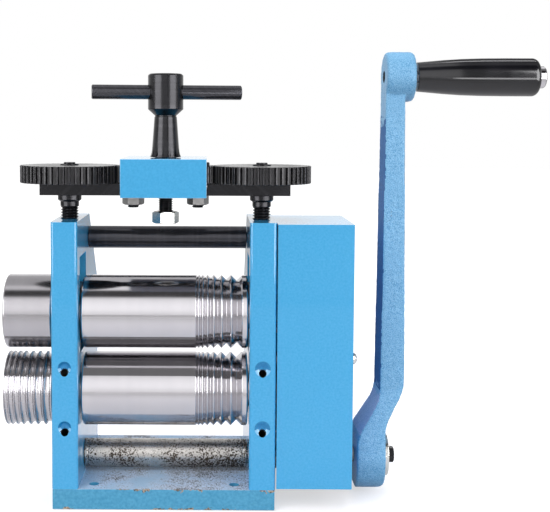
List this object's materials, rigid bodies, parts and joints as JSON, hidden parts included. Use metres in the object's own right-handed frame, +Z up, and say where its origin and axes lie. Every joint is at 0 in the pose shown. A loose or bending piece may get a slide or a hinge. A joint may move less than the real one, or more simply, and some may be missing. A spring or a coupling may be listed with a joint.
{
  "type": "jewellers rolling mill",
  "caption": "Bench rolling mill: crank-driven geared flat and grooved rolls in a blue frame, with a T-handle and gears that set the roll gap.",
  "frame": {"origin": "centre of the base plate's underside", "axes": "+X along the rolls towards the crank, +Y away from the side that work is fed from, +Z up"},
  "size_m": [0.3698, 0.132, 0.3056],
  "materials": {
    "blue_paint": "glossy powder coat",
    "base_paint": "glossy powder coat with chipped edges",
    "hammered_blue": "hammered paint on a casting",
    "black_oxide": "black oxide, satin",
    "ground_steel": "ground and polished",
    "shaft_steel": "drawn, pitted",
    "plain_steel": "machined and oiled",
    "zinc_plate": "bright zinc",
    "bearing_bronze": "oiled bronze",
    "block_iron": "machined and oiled",
    "spring_steel": "oiled",
    "black_gloss": "glossy"
  },
  "bodies": {
    "frame": {"base_plate": "base_paint", "base_screw_1": "black_oxide", "base_screw_2": "black_oxide", "base_screw_3": "black_oxide", "base_screw_4": "black_oxide", "left_upright": "blue_paint", "right_upright": "blue_paint", "left_lower_bush": "bearing_bronze", "right_lower_bush": "bearing_bronze", "left_drive_bush": "bearing_bronze", "right_drive_bush": "bearing_bronze", "left_tie_bar_screw": "black_oxide", "right_tie_bar_screw": "black_oxide", "upper_tie_bar": "black_oxide", "gear_cover": "blue_paint", "front_cover_post": "plain_steel", "rear_cover_post": "plain_steel", "front_cover_screw": "zinc_plate", "rear_cover_screw": "zinc_plate", "idler_stud": "plain_steel", "left_lift_spring": "spring_steel", "right_lift_spring": "spring_steel"},
    "drive": {"drive_shaft": "shaft_steel", "drive_pinion": "plain_steel", "crank_arm": "hammered_blue", "crank_washer": "zinc_plate", "crank_bolt": "black_oxide", "grip_spindle": "zinc_plate", "shaft_end_washer": "zinc_plate", "shaft_end_screw": "black_oxide"},
    "grip": {"crank_grip": "black_gloss"},
    "idler": {"idler_gear": "plain_steel"},
    "lower_rolls": {"lower_roll": "ground_steel", "lower_drive_gear": "plain_steel", "lower_mesh_gear": "plain_steel", "grooved_extension_roll": "ground_steel", "lower_extension_screw": "black_oxide"},
    "carriage": {"left_bearing_block": "block_iron", "right_bearing_block": "block_iron"},
    "upper_rolls": {"upper_roll": "ground_steel", "upper_mesh_gear": "plain_steel", "plain_extension_roll": "ground_steel", "upper_extension_screw": "black_oxide"},
    "bridge": {"bridge_plate": "black_oxide", "gear_housing": "blue_paint", "left_housing_screw": "black_oxide", "right_housing_screw": "black_oxide", "left_housing_nut": "zinc_plate", "right_housing_nut": "zinc_plate"},
    "t_handle": {"t_handle_stem": "black_oxide", "cross_bar": "black_oxide", "centre_gear": "black_oxide", "lock_nut": "zinc_plate"},
    "left_screw": {"left_pressure_screw": "black_oxide", "left_adjusting_gear": "black_oxide"},
    "right_screw": {"right_pressure_screw": "black_oxide", "right_adjusting_gear": "black_oxide"}
  },
  "joints": [
    {"name": "crank_turn", "type": "hinge", "parent": "frame", "child": "drive", "pos_m": [0, -0.0198, 0.0254], "axis": [1, 0, 0], "continuous": true},
    {"name": "grip_turn", "type": "hinge", "parent": "drive", "child": "grip", "pos_m": [0.2, -0.0198, 0.2886], "axis": [1, 0, 0], "continuous": true},
    {"name": "idler_turn", "type": "hinge", "parent": "frame", "child": "idler", "pos_m": [0.08, -0.00692, 0.04565], "axis": [1, 0, 0], "continuous": true},
    {"name": "lower_roll_turn", "type": "hinge", "parent": "frame", "child": "lower_rolls", "pos_m": [0, -0.031, 0.0744], "axis": [1, 0, 0], "continuous": true},
    {"name": "carriage_slide", "type": "slide", "parent": "frame", "child": "carriage", "axis": [0, 0, 1], "range_m": [-0.0033, 0.0036], "deforming": ["left_lift_spring", "right_lift_spring"]},
    {"name": "upper_roll_turn", "type": "hinge", "parent": "carriage", "child": "upper_rolls", "pos_m": [0, -0.031, 0.1278], "axis": [1, 0, 0], "continuous": true},
    {"name": "bridge_slide", "type": "slide", "parent": "frame", "child": "bridge", "axis": [0, 0, 1], "range_m": [-0.0033, 0.0036]},
    {"name": "t_handle_turn", "type": "hinge", "parent": "bridge", "child": "t_handle", "pos_m": [0, -0.031, 0.222], "axis": [0, 0, 1], "range_deg": [-640, 590]},
    {"name": "left_screw_turn", "type": "hinge", "parent": "bridge", "child": "left_screw", "pos_m": [-0.06545, -0.031, 0.222], "axis": [0, 0, 1], "range_deg": [-591, 641]},
    {"name": "right_screw_turn", "type": "hinge", "parent": "bridge", "child": "right_screw", "pos_m": [0.06545, -0.031, 0.222], "axis": [0, 0, 1], "range_deg": [-591, 641]}
  ],
  "couplings": [
    {"joint": "idler_turn", "follows": "crank_turn", "ratio": -0.6},
    {"joint": "lower_roll_turn", "follows": "crank_turn", "ratio": 0.4},
    {"joint": "upper_roll_turn", "follows": "crank_turn", "ratio": -0.4},
    {"joint": "carriage_slide", "follows": "t_handle_turn", "m_per_rad": -0.00031831},
    {"joint": "bridge_slide", "follows": "t_handle_turn", "m_per_rad": -0.00031831},
    {"joint": "left_screw_turn", "follows": "t_handle_turn", "ratio": -1},
    {"joint": "right_screw_turn", "follows": "t_handle_turn", "ratio": -1}
  ]
}
